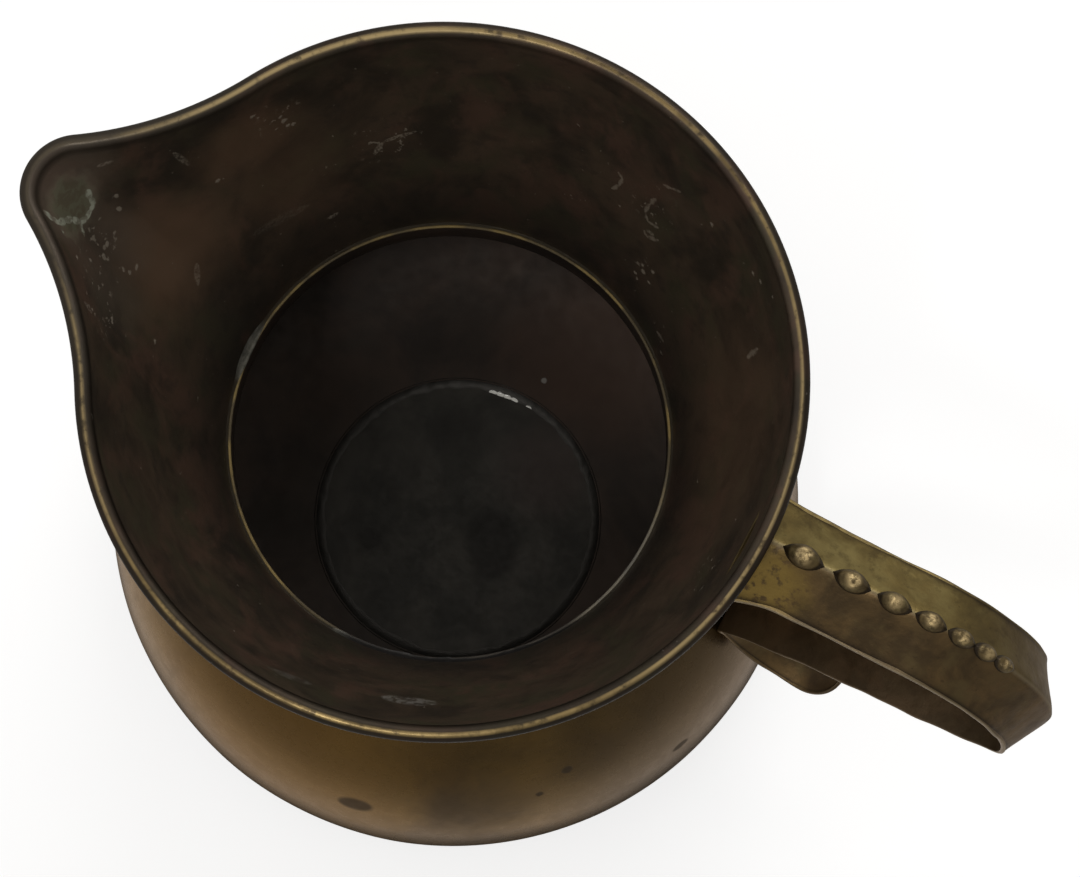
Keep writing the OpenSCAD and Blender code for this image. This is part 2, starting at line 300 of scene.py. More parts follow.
def collar_piece(material):
    """The collar in one sheet: band, flare, spout and the roll over the wire."""
    inner = collar_face(ROLL_OUT, COLLAR_FOOT_R, COLLAR_TOP_R)
    outer = collar_face(ROLL_IN, COLLAR_FOOT_R + COLLAR_T, COLLAR_TOP_R + COLLAR_T)
    rings = np.concatenate([inner, outer[:, ::-1]], axis=1)
    z = rings[:, :, 2]
    free = smooth_step(z, NECK_H + 4, NECK_H + 22) * (1 - smooth_step(z, RIM_H - 20, RIM_H - 5))
    dents = 0.14 * waves(rings, 34, 3) + 0.07 * waves(rings, 13, 4)
    on_roll = np.zeros(rings.shape[1])
    on_roll[BAND_ROWS + WALL_ROWS : inner.shape[1]] = 1
    outside = np.zeros(rings.shape[:2])
    outside[:, inner.shape[1] - ROLL_ROWS // 4 :] = 1
    # The crest mark is the rubbed line of the roll, leant towards the light: wear, and a painted highlight
    wire_line = np.column_stack([rim_line(0), np.full(len(rings), RIM_H)])
    facing = (rings - wire_line[:, None, :]) @ RUB_AND_HIGHLIGHT_WAY / ROLL_OUT
    # The flank mark is painted shade on the roll's lower half, taken back in part on the inner side towards +y, where
    # light falls
    inner_side = np.zeros(rings.shape[1])
    inner_side[: BAND_ROWS + WALL_ROWS + ROLL_ROWS // 3] = 1
    lit = 0.65 * inner_side * smooth_step(rings[:, :, 1], -60, 20)
    piece = sheet_of(
        "can_collar", push_in(rings, dents * free), outside=outside,
        crest=on_roll * smooth_step(facing, 0.93, 0.985),
        flank=on_roll * smooth_step(z, RIM_H - 1.2, RIM_H) * (1 - lit),
    )
    stand_for(piece, "collar", material)


# Solder
def bumps_round(a, places):
    """Height of lumps at the azimuths a, from a list of (middle, half width, height)."""
    total = np.zeros_like(a)
    for middle, half, height in places:
        away = (a - math.radians(middle) + math.pi) % (2 * math.pi) - math.pi
        total += height * np.exp(-((away / math.radians(half)) ** 2))
    return total


def turned(a, rows):
    """Rings of a section that changes with the azimuth a, from rows of (radius, height)."""
    r = np.stack([row[0] + 0 * a for row in rows], axis=1)
    z = np.stack([row[1] + 0 * a for row in rows], axis=1)
    return np.stack([r * np.cos(a)[:, None], r * np.sin(a)[:, None], z], axis=2)


def neck_solder_piece(material):
    """A thin run round the neck's top edge, with a patch by the spout and lumps in front."""
    a = np.linspace(0, 2 * math.pi, 600, endpoint=False)
    around = np.stack([np.cos(a) * NECK_R, np.sin(a) * NECK_R, 0 * a], axis=1)
    rough = 0.5 + 0.5 * waves(around, 5, 5)
    rough_fine = 0.5 + 0.5 * waves(around, 1.7, 6)
    patch = bumps_round(a, [(181.5, 6, 1.0), (188, 3.5, 0.5)])
    lumps = bumps_round(a, [(272, 6, 0.9), (284, 7, 1.0), (297, 6, 0.9), (314, 5, 0.7)])
    width = 0.30 + 0.15 * rough + patch * 0.75 + lumps * (0.45 + 0.55 * rough_fine)
    height = 0.50 + 0.30 * rough + patch * 2.3 + lumps * 0.6
    over = np.clip(width - 0.75, 0, 2) * 1.3
    top_r = radius_at(FLARE, NECK_H + height)
    edge_r = COLLAR_FOOT_R - width
    rows = [(top_r, NECK_H + height)]
    for t in (0.2, 0.4, 0.6, 0.8):
        rows.append((top_r + (edge_r - top_r) * t, NECK_H + height * (1 - t) ** 1.8 + 0.14))
    rows.append((edge_r, NECK_H + 0.07))
    rows.append((edge_r - over * 0.1, NECK_H - over * 0.5))
    rows.append((np.minimum(edge_r + 0.4, NECK_R - 0.2), NECK_H - over - 0.05))
    rows.append((NECK_R - 0.2, NECK_H - 0.1))
    rings = turned(a, rows)
    grey = np.repeat(np.clip(patch + lumps, 0, 1)[:, None], len(rows), axis=1)
    piece = sheet_of("neck_solder_run", rings, grey=grey)
    stand_for(piece, "neck_solder", material)


def base_solder_piece(material):
    """An uneven fillet on the floor, in the corner against the body's edge."""
    a = np.linspace(0, 2 * math.pi, 460, endpoint=False)
    around = np.stack([np.cos(a) * BASE_HOLE_R, np.sin(a) * BASE_HOLE_R, 0 * a], axis=1)
    uneven, uneven_fine = waves(around, 7, 7), waves(around, 2.2, 8)
    width = 2.6 + 0.45 * uneven + 0.25 * uneven_fine
    rows = []
    for t in np.linspace(0, 1, 9):
        z = BASE_T + (BODY_T + 0.15) * (1 - t) ** 1.7 + 0.05 * uneven_fine * math.sin(math.pi * t)
        rows.append((BASE_HOLE_R + 0.6 - (width + 0.6) * t, np.maximum(z, BASE_T)))
    rows.append((BASE_HOLE_R, BASE_T))
    rings = turned(a, rows)
    piece = sheet_of("base_solder_run", rings, grey=np.zeros(rings.shape[:2]))
    stand_for(piece, "base_solder", material)


# The handle's middle line, in the plane y = 0
HANDLE_DROP = 15
HANDLE_REACH = 76.5
BEND_IN = 34
BEND_DROP = 42
WAIST_IN = 41
WAIST_DROP = 31
FOOT_H = 78
TAIL_REACH = 35.5
TAIL_DROP = 6
TAIL_CURL = 13
TAIL_HALF = 9
SEAT = 0.8
ROOT_HALF = 16
GRIP_HALF = 12.6
WAIST_HALF = 10
FOOT_HALF = 5.5
RIDGE_H = 9
TAIL_RIDGE_H = 3.6
BACKING_T = 1.3
EDGE_LIP = 0.4
# The ridge was folded a little to the back of the middle, and the back spreads less at the collar
RIDGE_SIDE = 0.8
BACK_SPREAD = 0.35

ROOT_H = RIM_H - HANDLE_DROP
ROOT_R = float(radius_at(FLARE, ROOT_H)) + COLLAR_T
FOOT_R = float(radius_at(UPPER, FOOT_H))
FOOT_DIR = np.array([radius_at(UPPER, FOOT_H - 1) - radius_at(UPPER, FOOT_H + 1), -2.0])
FOOT_DIR = FOOT_DIR / np.linalg.norm(FOOT_DIR)
BEND_R = RIM_R + HANDLE_REACH
GRIP_LEN = HANDLE_REACH - BEND_IN
ROOT = np.array([ROOT_R - 2 * COLLAR_T, ROOT_H])
TURN = np.array([BEND_R - BEND_IN, ROOT_H])
BEND = np.array([BEND_R, ROOT_H - BEND_DROP])
WAIST = BEND - [WAIST_IN, WAIST_DROP]
WAIST_RUN = np.array([WAIST_IN, WAIST_DROP]) * 0.35
REST_ON = np.array([FOOT_R - SEAT, FOOT_H])
TAIL_TIP = np.array([FOOT_R + TAIL_REACH, FOOT_H - TAIL_DROP])
HANDLE_CURVES = [
    [ROOT, ROOT + [GRIP_LEN * 0.33, 0], TURN - [GRIP_LEN * 0.28, 0], TURN],
    [TURN, TURN + [BEND_IN * 0.56, 0], BEND + [0, BEND_DROP * 0.52], BEND],
    [BEND, BEND - [0, BEND_DROP * 0.33], WAIST + WAIST_RUN, WAIST],
    [WAIST, WAIST - WAIST_RUN, REST_ON - TAIL_REACH * 0.5 * FOOT_DIR, REST_ON],
    [
        REST_ON,
        REST_ON + TAIL_REACH * 0.4 * FOOT_DIR,
        TAIL_TIP - [TAIL_REACH * 0.26, TAIL_CURL],
        TAIL_TIP,
    ],
]


class Handle:
    """Close stations along the handle: place, direction, half widths and ridge height."""

    def __init__(self):
        halves = [GRIP_HALF, GRIP_HALF, GRIP_HALF * 0.97, WAIST_HALF, FOOT_HALF, TAIL_HALF]
        ridges = np.linspace(RIDGE_H, TAIL_RIDGE_H, 6)
        rows = []
        for c, (points, count) in enumerate(zip(HANDLE_CURVES, [44, 60, 46, 50, 60])):
            for t in np.linspace(0, 1, count, endpoint=c == 4):
                place, run = bezier(points, t)[0], bezier_run(points, t)[0]
                tip = math.sqrt(1 - (max(0, t - 0.73) / 0.281) ** 2) if c == 4 else 1
                spread = max(0, 1 - (place[0] - ROOT_R) / ROOT_HALF) ** 2 if c == 0 else 0
                half = (halves[c] + (halves[c + 1] - halves[c]) * t) * tip
                wide = (ROOT_HALF - GRIP_HALF) * spread
                ridge = (ridges[c] + (ridges[c + 1] - ridges[c]) * t) * tip
                rows.append([*place, *run, half + wide, half + wide * BACK_SPREAD, ridge])
        rows = np.array(rows)
        self.place, self.run = rows[:, 0:2], rows[:, 2:4]
        self.up = left_of(self.run)
        self.front, self.back, self.ridge = rows[:, 4], rows[:, 5], rows[:, 6]
        self.side = RIDGE_SIDE * self.ridge / RIDGE_H
        self.crest = self.place + self.up * (BACKING_T + self.ridge)[:, None]
        steps = np.linalg.norm(np.diff(self.crest, axis=0), axis=1)
        self.length = np.concatenate([[0], np.cumsum(steps)])
        self.foot = self.length[np.argmin(self.place[:, 0] + (self.place[:, 1] > NECK_H) * 999)]

    def swept(self, across, out):
        """Rings through points given, at each station, by their places across and out."""
        x = self.place[:, 0:1] + out * self.up[:, 0:1]
        z = self.place[:, 1:2] + out * self.up[:, 1:2]
        rings = np.stack([x, across, z], axis=2)
        wall = radius_at(FLARE, z.ravel()).reshape(z.shape) + COLLAR_T + FIT
        at_wall = np.sqrt(np.maximum(wall**2 - across**2, 1))
        rings[:, :, 0] = np.where(z > NECK_H, np.maximum(x, at_wall), x)
        return rings

    def at(self, values, d):
        """A value, or a row of values, at a length along the crest."""
        values = values.reshape(len(values), -1)
        return np.array([np.interp(d, self.length, column) for column in values.T])


handle = Handle()


def strap_piece(material):
    """The folded strap: two slightly hollow facets that meet in a softened ridge."""
    groove, inset, soft, count = 0.35, 0.5, 0.10, 18
    share = np.linspace(-1, 1, 2 * count + 1)
    share = np.sign(share) * np.abs(share) ** 1.25
    tall = np.sqrt(1 + soft**2) - np.sqrt(share**2 + soft**2)
    tall = tall / (np.sqrt(1 + soft**2) - soft) - 0.035 * np.sin(math.pi * np.abs(share))
    half = np.where(share[None, :] < 0, handle.front[:, None], handle.back[:, None])
    across = share * (half - np.minimum(inset, half * 0.2))
    across = across + handle.side[:, None] * (1 - np.abs(share))
    out = BACKING_T + groove + tall * (handle.ridge[:, None] * 0.985 - groove)
    sole = np.stack([across[:, -1], across[:, 0]], axis=1) * 0.96
    rings = handle.swept(
        np.hstack([across, sole]), np.hstack([out, np.full(sole.shape, BACKING_T)])
    )
    dents = 0.22 * (1 + waves(rings, 13, 11)) + 0.08 * (1 + waves(rings, 4.5, 12))
    dents[:, -2:] = 0
    rings[:, :, 0] -= dents * handle.up[:, 0:1]
    rings[:, :, 2] -= dents * handle.up[:, 1:2]
    reach = np.concatenate([np.abs(share), [1, 1]])
    front = np.concatenate([share < 0, [False, True]]).astype(float)
    ones = np.ones((rings.shape[0], 1))
    piece = sheet_of(
        "handle_strap_folded", rings, closed=False, caps=True,
        edge=ones * (1 - smooth_step(reach, 0.0, 0.06)) * 0.35,
        seam=ones * smooth_step(reach, 0.90, 1.0), front=ones * front,
    )
    stand_for(piece, "handle_strap", material)


def backing_piece(material):
    """The flat strip under the strap, with worn edges that waver a little and carry a painted highlight."""
    soft = 0.35
    along = np.column_stack([handle.place[:, 0], 0 * handle.front, handle.place[:, 1]])
    front = handle.front + EDGE_LIP - 0.45 * (0.5 + 0.5 * waves(along, 9, 13))
    rear = handle.back + EDGE_LIP - 0.45 * (0.5 + 0.5 * waves(along, 9, 14))
    corner = [
        (soft, 0, 0.1), (soft * 0.3, soft * 0.3, 0.2), (0, soft, 0.2),
        (0, BACKING_T - soft, 0.5), (soft * 0.3, BACKING_T - soft * 0.3, 1.0), (soft, BACKING_T, 0.2),
    ]
    across = [-front + back_off for back_off, _, _ in corner] + [0 * front]
    across += [rear - back_off for back_off, _, _ in corner[::-1]] + [0 * front]
    heights = [height for _, height, _ in corner]
    marks = [mark for _, _, mark in corner]
    out = heights + [BACKING_T] + heights[::-1] + [0]
    # Edge marks, most on the front's top corner: wear, and a painted highlight where the edge catches the light
    mark = marks + [0] + [value * 0.3 for value in marks[::-1]] + [0]
    under = [1, 0.6, 0.3, 0, 0, 0, 0, 0, 0, 0, 0.3, 0.6, 1, 1]
    across = np.stack(across, axis=1)
    ones = np.ones((len(across), 1))
    rings = handle.swept(across, ones * out)
    held = 1 - 0.8 * smooth_step(handle.length, handle.foot - 8, handle.foot + 6)[:, None]
    piece = sheet_of(
        "handle_backing_strip", rings, closed=False, caps=True,
        edge=held * mark, under=ones * under, front=ones * (across[0] < 0),
    )
    stand_for(piece, "handle_backing", material)


# Beads on the ridge
BEAD_L = 8.8
BEAD_W = 5.8
BEAD_START = 13
BEAD_PITCH = 12.8
PITCH_RATIO = 0.87
BEAD_RATIO = 0.935


def bead_piece(number, material):
    """An uneven drop of metal, pointed at both ends, astride the ridge with a low skirt."""
    size = BEAD_RATIO ** (number - 1)
    middle = BEAD_START + BEAD_PITCH * sum(PITCH_RATIO**i for i in range(number - 1))
    middle += 2 * COLLAR_T
    half_l, half_w = BEAD_L * size / 2, BEAD_W * size / 2
    turns, rows, reach = 44, 22, 1.25
    rho = np.linspace(0, reach, rows + 1)
    a = np.linspace(0, 2 * math.pi, turns, endpoint=False)
    pointed = np.sin(a) * np.abs(np.sin(a)) ** 0.3
    dome = half_w * 0.86 * np.maximum(0, 1 - (rho * 0.98) ** 2.3) ** 0.62
    skirt = 0.36 * np.exp(-(((rho - 1.0) / 0.12) ** 2))
    lift = np.maximum(dome, skirt) + 0.08 - 0.55 * smooth_step(rho, 1.08, reach)
    rings = np.array([
        [
            bead_point(middle + r * half_l * math.cos(b), r * half_w * p, height)
            for b, p in zip(a, pointed)
        ]
        for r, height in zip(rho, lift)
    ])
    fade = (1 - smooth_step(rho, 0.75, 1.05))[:, None]
    lumps = waves(rings, 2.4 * size, 20 + number) * 0.34 + waves(rings, 1.1, 30 + number) * 0.10
    rings[:, :, 2] += (lumps - 0.25) * fade * size
    ones = np.ones((1, turns))
    piece = sheet_of(
        f"ridge_bead_{number}", rings, closed=False, caps=True,
        edge=(1 - smooth_step(rho, 0.12, 0.62))[:, None] * ones,
        seam=smooth_step(rho, 0.80, 0.98)[:, None] * ones,
    )
    stand_for(piece, f"bead_{number}", material)


def bead_point(d, across, lift):
    """A point of a bead's skin: along the ridge, across it and lifted off the strap's roof."""
    crest = handle.at(handle.crest, d)
    half, ridge, side = handle.at(np.stack([handle.front, handle.ridge, handle.side], 1), d)
    up = handle.at(handle.up, d)
    up = up / np.linalg.norm(up)
    slope = math.atan2(ridge, half)
    tilt = slope * math.tanh(across / 0.8)
    out = lift * math.cos(tilt) - abs(across) * math.sin(slope)
    place = crest + up * out
    return [place[0], across * math.cos(slope) + lift * math.sin(tilt) + side, place[1]]


# Node shaders
class Shader:
    """A material under construction. Places reach it in millimetres."""

    def __init__(self, name):
        self.material = bpy.data.materials.new(name)
        self.material.use_nodes = True
        self.tree = self.material.node_tree
        self.surface = self.tree.nodes["Principled BSDF"]
        here = self.add("ShaderNodeTexCoord").outputs["Object"]
        scale = self.add("ShaderNodeVectorMath", operation="SCALE")
        scale.inputs["Scale"].default_value = 1 / MM
        self.join(here, scale.inputs[0])
        self.place = scale.outputs[0]

    def add(self, kind, **settings):
        node = self.tree.nodes.new(kind)
        for key, value in settings.items():
            setattr(node, key, value)
        return node

    def join(self, source, target):
        if isinstance(source, (int, float)):
            target.default_value = source
        elif isinstance(source, tuple):
            target.default_value = (*source, 1) if len(source) == 3 else source
        else:
            self.tree.links.new(source, target)

    def noise(self, size, detail=4, rough=0.55, twist=0.0, place=None):
        node = self.add("ShaderNodeTexNoise")
        self.join(self.place if place is None else place, node.inputs["Vector"])
        node.inputs["Scale"].default_value = 1 / size
        node.inputs["Detail"].default_value = detail
        node.inputs["Roughness"].default_value = rough
        node.inputs["Distortion"].default_value = twist
        return node.outputs["Fac"]

    def stretched(self, x, y, z):
        node = self.add("ShaderNodeVectorMath", operation="MULTIPLY")
        self.join(self.place, node.inputs[0])
        node.inputs[1].default_value = (x, y, z)
        return node.outputs[0]

    def calc(self, operation, a, b=0.0, c=0.0, clamp=False):
        node = self.add("ShaderNodeMath", operation=operation, use_clamp=clamp)
        for value, socket in zip((a, b, c), node.inputs):
            self.join(value, socket)
        return node.outputs[0]

    def range(self, value, low, high, to_low=0.0, to_high=1.0):
        node = self.add("ShaderNodeMapRange", interpolation_type="SMOOTHSTEP")
        self.join(value, node.inputs["Value"])
        node.inputs["From Min"].default_value = low
        node.inputs["From Max"].default_value = high
        node.inputs["To Min"].default_value = to_low
        node.inputs["To Max"].default_value = to_high
        return node.outputs["Result"]

    def blend(self, share, first, second):
        node = self.add("ShaderNodeMix", data_type="RGBA")
        self.join(share, node.inputs["Factor"])
        self.join(first, node.inputs["A"])
        self.join(second, node.inputs["B"])
        return node.outputs["Result"]

    def mark(self, name):
        return self.add("ShaderNodeAttribute", attribute_name=name).outputs["Fac"]

    def height(self):
        split = self.add("ShaderNodeSeparateXYZ")
        self.join(self.place, split.inputs[0])
        return split.outputs["Z"]

    def away_from(self, centre):
        away = self.add("ShaderNodeVectorMath", operation="DISTANCE")
        self.join(self.place, away.inputs[0])
        away.inputs[1].default_value = centre
        return away.outputs["Value"]

    def spot(self, centre, radius, ragged=0.35, soft=0.3, grain=None):
        """1 near a place on the surface, with a ragged edge, and 0 away from it."""
        wavy = self.noise(grain or radius * 0.5, 3)
        reach = self.calc("MULTIPLY_ADD", wavy, 2 * ragged * radius,
                          self.calc("SUBTRACT", self.away_from(centre), ragged * radius))
        return self.range(reach, radius * (1 - soft), radius * (1 + soft), 1, 0)

    def streak(self, start, end, half_width):
        """1 along the line from start to end, tapering to both ends, and 0 away from it."""
        both = self.calc("ADD", self.away_from(start), self.away_from(end))
        length = math.dist(start, end)
        spare = half_width**2 * 2 / length
        return self.range(both, length + spare * 0.4, length + spare * 1.6, 1, 0)

    def chips(self, places, grain=1.1, ragged=0.9):
        """1 on small ragged chips, from a list of places with the radius of each."""
        reach = self.calc("MULTIPLY_ADD", self.noise(grain, 3), 2 * ragged, -ragged)
        nearest = None
        for centre, radius in places:
            away = self.calc("SUBTRACT", self.away_from(centre), radius)
            nearest = away if nearest is None else self.calc("MINIMUM", nearest, away)
        return self.range(self.calc("ADD", nearest, reach), -0.25, 0.25, 1, 0)

    def trail(self, places, width, grain=1.2, ragged=0.35):
        """1 along the ragged line through places, and 0 away from it."""
        nearest = None
        for start, end in zip(places, places[1:]):
            both = self.calc("ADD", self.away_from(start), self.away_from(end))
            away = self.calc("SUBTRACT", both, math.dist(start, end))
            nearest = away if nearest is None else self.calc("MINIMUM", nearest, away)
        reach = self.calc("MULTIPLY_ADD", self.noise(grain, 3), 2 * ragged, -ragged)
        return self.range(self.calc("ADD", nearest, reach), width - 0.25, width + 0.2, 1, 0)

    def most(self, *masks):
        total = masks[0]
        for mask in masks[1:]:
            total = self.calc("MAXIMUM", total, mask)
        return total

    def bump(self, *layers):
        """Relief from (height, depth in millimetres) layers."""
        normal = None
        for height, depth in layers:
            node = self.add("ShaderNodeBump")
            node.inputs["Distance"].default_value = depth * MM
            self.join(height, node.inputs["Height"])
            if normal is not None:
                self.join(normal, node.inputs["Normal"])
            normal = node.outputs["Normal"]
        self.join(normal, self.surface.inputs["Normal"])

    def set(self, **values):
        for key, value in values.items():
            self.join(value, self.surface.inputs[key.replace("_", " ")])
        return self.material


def patina(sh, dark, brown, olive, size):
    """Three tones of old brass in soft patches."""
    tone = sh.blend(sh.range(sh.noise(size, 5, 0.6, 0.5), 0.36, 0.64), dark, brown)
    return sh.blend(sh.range(sh.noise(size * 0.7, 4, 0.55, 0.4), 0.46, 0.72), tone, olive)


# Old brass stays warm where it is seen edge on
WARM_EDGE = (1.0, 0.88, 0.78)


def outside_brass(sh):
    """The brown gold of the can's outside, with a little grime."""
    colour = patina(sh, (0.062, 0.037, 0.010), (0.126, 0.074, 0.018), (0.099, 0.061, 0.017), 42)
    grime = sh.range(sh.noise(2.4, 5, 0.7), 0.60, 0.74)
    return sh.blend(sh.calc("MULTIPLY", grime, 0.35), colour, (0.035, 0.025, 0.015))


# The front of the neck's edge, where brass and solder are stained dark: middle and radius
STAINED_EDGE = (29.4, -50.9, NECK_H), 34


def belly_brass():
    sh = Shader("aged brass belly")
    fine = sh.noise(4, 4, 0.6)
    colour = outside_brass(sh)
    # A warm golden patch on the belly's front left: a painted highlight
    warm_painted_light = sh.spot((-10, -88, 74), 40, 0.3, 0.5, 20)
    colour = sh.blend(sh.calc("MULTIPLY", warm_painted_light, 0.6), colour, (0.185, 0.098, 0.020))
    # A darker patch on the belly's +x front side: painted shade
    painted_shade = sh.spot((92, -30, 66), 44, 0.3, 0.5, 20)
    colour = sh.blend(sh.calc("MULTIPLY", painted_shade, 0.8), colour, (0.044, 0.028, 0.010))
    stains = sh.most(
        sh.streak((13.5, -95, 62), (20.5, -93.5, 63.5), 3.2),
        sh.spot((66, -59, 77), 1.6), sh.spot((62, -68, 70), 1.2),
        sh.streak((89, -38.5, 54), (94, -34, 54), 1.6),
        sh.calc("MULTIPLY", sh.spot((48, -80, 68), 15, 0.4, 0.5), 0.45),
    )
    colour = sh.blend(sh.calc("MULTIPLY", stains, 0.72), colour, (0.020, 0.015, 0.010))
    cave = patina(sh, (0.022, 0.017, 0.014), (0.052, 0.034, 0.025), (0.036, 0.027, 0.021), 30)
    # A reddish patch low on the inside wall: a painted pool of light
    glow = sh.spot((16, 66, 3), 26, 0.3, 0.6)
    cave = sh.blend(sh.calc("MULTIPLY", glow, 0.6), cave, (0.095, 0.052, 0.034))
    # A small pale dot at the foot of the inside wall: a painted glint
    cave = sh.blend(sh.chips([((4.0, 50.6, 2.6), 0.9)], 1.2, 0.3), cave, (0.30, 0.28, 0.25))
    inner = sh.mark("inside")
    colour = sh.blend(inner, colour, cave)
    dull = sh.blend(sh.range(sh.noise(13, 3), 0.42, 0.58), (0.080, 0.062, 0.032), (0.215, 0.155, 0.055))
    tinned = sh.spot((56.8, -15, NECK_H), 26, 0.3, 0.4, 5)
    dull = sh.blend(sh.calc("MULTIPLY", tinned, 0.8), dull, (0.150, 0.142, 0.123))
    dull = sh.blend(sh.spot(*STAINED_EDGE, 0.1, 0.15), dull, (0.030, 0.027, 0.022))
    colour = sh.blend(sh.range(sh.mark("lip"), 0.3, 0.9), colour, dull)
    rough = sh.calc("MULTIPLY_ADD", fine, 0.22, 0.17)
    rough = sh.calc("MULTIPLY_ADD", inner, 0.28, rough)
    rough = sh.calc("MULTIPLY_ADD", stains, 0.25, rough)
    sh.bump((fine, 0.03), (sh.noise(0.8, 2), 0.012))
    metal = sh.calc("MULTIPLY_ADD", inner, -0.62, 0.88)
    return sh.set(Base_Color=colour, Roughness=rough, Metallic=metal, Specular_Tint=WARM_EDGE)


# Marks on the inside of the collar: pale chips, with the radius of each
CHIP_PLACES = [
    ((-94.6, 6.8, 198.4), 0.7), ((-93.3, 5.0, 194.3), 0.6), ((-92.2, -0.5, 190.9), 0.5),
    ((-92.2, -3.8, 191.9), 0.7), ((-92.3, -5.0, 192.7), 0.5), ((-90.9, -7.3, 193.2), 0.9),
    ((-90.2, -7.1, 191.7), 0.6), ((-93.2, -12.7, 208.1), 0.5), ((-91.7, -10.6, 200.5), 0.5),
    ((-86.8, -6.7, 185.9), 0.6), ((-85.6, -6.3, 183.7), 0.6), ((-85.2, -4.0, 181.5), 0.6),
    ((-84.7, -22.0, 209.2), 0.4),
    ((-84.0, -22.3, 207.5), 0.4), ((-83.1, -22.8, 206.0), 0.4), ((-81.2, -20.5, 195.7), 0.6),
    ((-80.7, -21.3, 195.9), 0.5), ((-73.4, -17.7, 175.4), 0.6), ((-76.1, 23.6, 188.5), 0.6),
    ((-72.5, 38.4, 206.3), 0.6), ((-71.6, 39.0, 203.9), 0.4), ((-67.2, 43.1, 196.3), 0.8),
    ((-66.3, 43.2, 193.6), 0.5), ((-65.5, 44.2, 193.1), 0.6), ((-68.0, 42.9, 198.6), 0.4),
    ((14.5, 68.8, 168.3), 0.5), ((24.4, 59.0, 151.5), 0.5), ((26.6, 59.3, 154.7), 0.7),
    ((28.9, 59.6, 157.9), 0.6), ((25.6, 58.0, 150.3), 0.5), ((29.1, 57.6, 153.5), 0.5),
    ((25.7, 60.4, 156.3), 0.4), ((53.7, 60.4, 200.2), 0.6), ((56.4, 58.6, 202.9), 0.5),
    ((60.8, 55.3, 208.2), 0.5), ((39.0, 68.7, 193.0), 0.5),
]
# Pale ragged strokes there
STROKES = [
    [(11.0, 73.8, 179.5), (12.6, 73.0, 178.3), (12.4, 71.9, 175.2), (10.8, 71.0, 172.2)],
    [(23.3, 73.7, 187.6), (25.8, 73.5, 189.3), (28.3, 73.2, 191.3)],
    [
        (22.7, 71.6, 181.0), (21.7, 70.5, 177.4), (21.1, 69.1, 173.4), (22.8, 67.7, 171.3),
        (26.2, 67.1, 172.7),
    ],
    [(22.8, 66.2, 167.6), (24.0, 65.2, 166.3), (27.4, 65.1, 169.2)],
    [(36.1, 49.2, 143.3), (38.9, 47.4, 144.2)],
    [(61.4, 44.6, 183.3), (63.0, 46.2, 190.3)],
]
# Places of fine scattered specks there, with the radius of each
SPECK_PLACES = [
    ((-92, -8, 196), 9), ((-84, -19, 202), 8), ((-68, 43, 198), 6), ((-46, 56, 174), 8),
    ((23, 71, 179), 7), ((26, 60, 155), 4), ((38, 48, 143), 5), ((77, -9, 187), 6),
]
# The pale crust along the lower edge of the green patch in the spout, with a spike
CRUST_LINE = [
    (-103.3, -8.0, 217.3), (-101.6, -7.8, 213.2), (-100.5, -7.6, 210.5), (-100.4, -5.8, 207.2),
    (-99.7, -4.3, 204.5), (-98.5, -3.8, 202.0), (-97.8, -2.0, 200.1), (-98.0, 0.4, 200.1),
    (-97.8, 2.2, 200.2), (-98.9, 2.7, 202.2), (-100.0, 3.8, 204.6),
]
CRUST_SPIKE = [(-98.3, -3.6, 201.6), (-97.3, -4.7, 200.7), (-96.4, -5.5, 200.0)]
# Scratches there, each as two ends, a half width and a strength
SCRATCHES = [
    ((-75, 6, 168), (-73, 2, 163), 0.9, 0.5), ((-85, 21, 208), (-82, 22, 199), 0.9, 0.5),
    ((-48, 52, 169), (-47, 55, 173), 0.8, 0.8), ((-47, 55, 173), (-40, 61, 175), 0.7, 0.8),
    ((-67, 20, 164), (-58, 34, 161), 1.7, 0.18), ((-54, 35, 152), (-52, 38, 152), 0.8, 0.8),
    ((-85, -22, 213), (-83, -23, 208), 0.8, 0.7), ((-99, 9, 211), (-96, 12, 212), 0.7, 0.7),
    ((23, 67, 168), (26, 66, 169), 0.8, 0.8), ((40, 62, 180), (52, 50, 178), 0.6, 0.5),
]


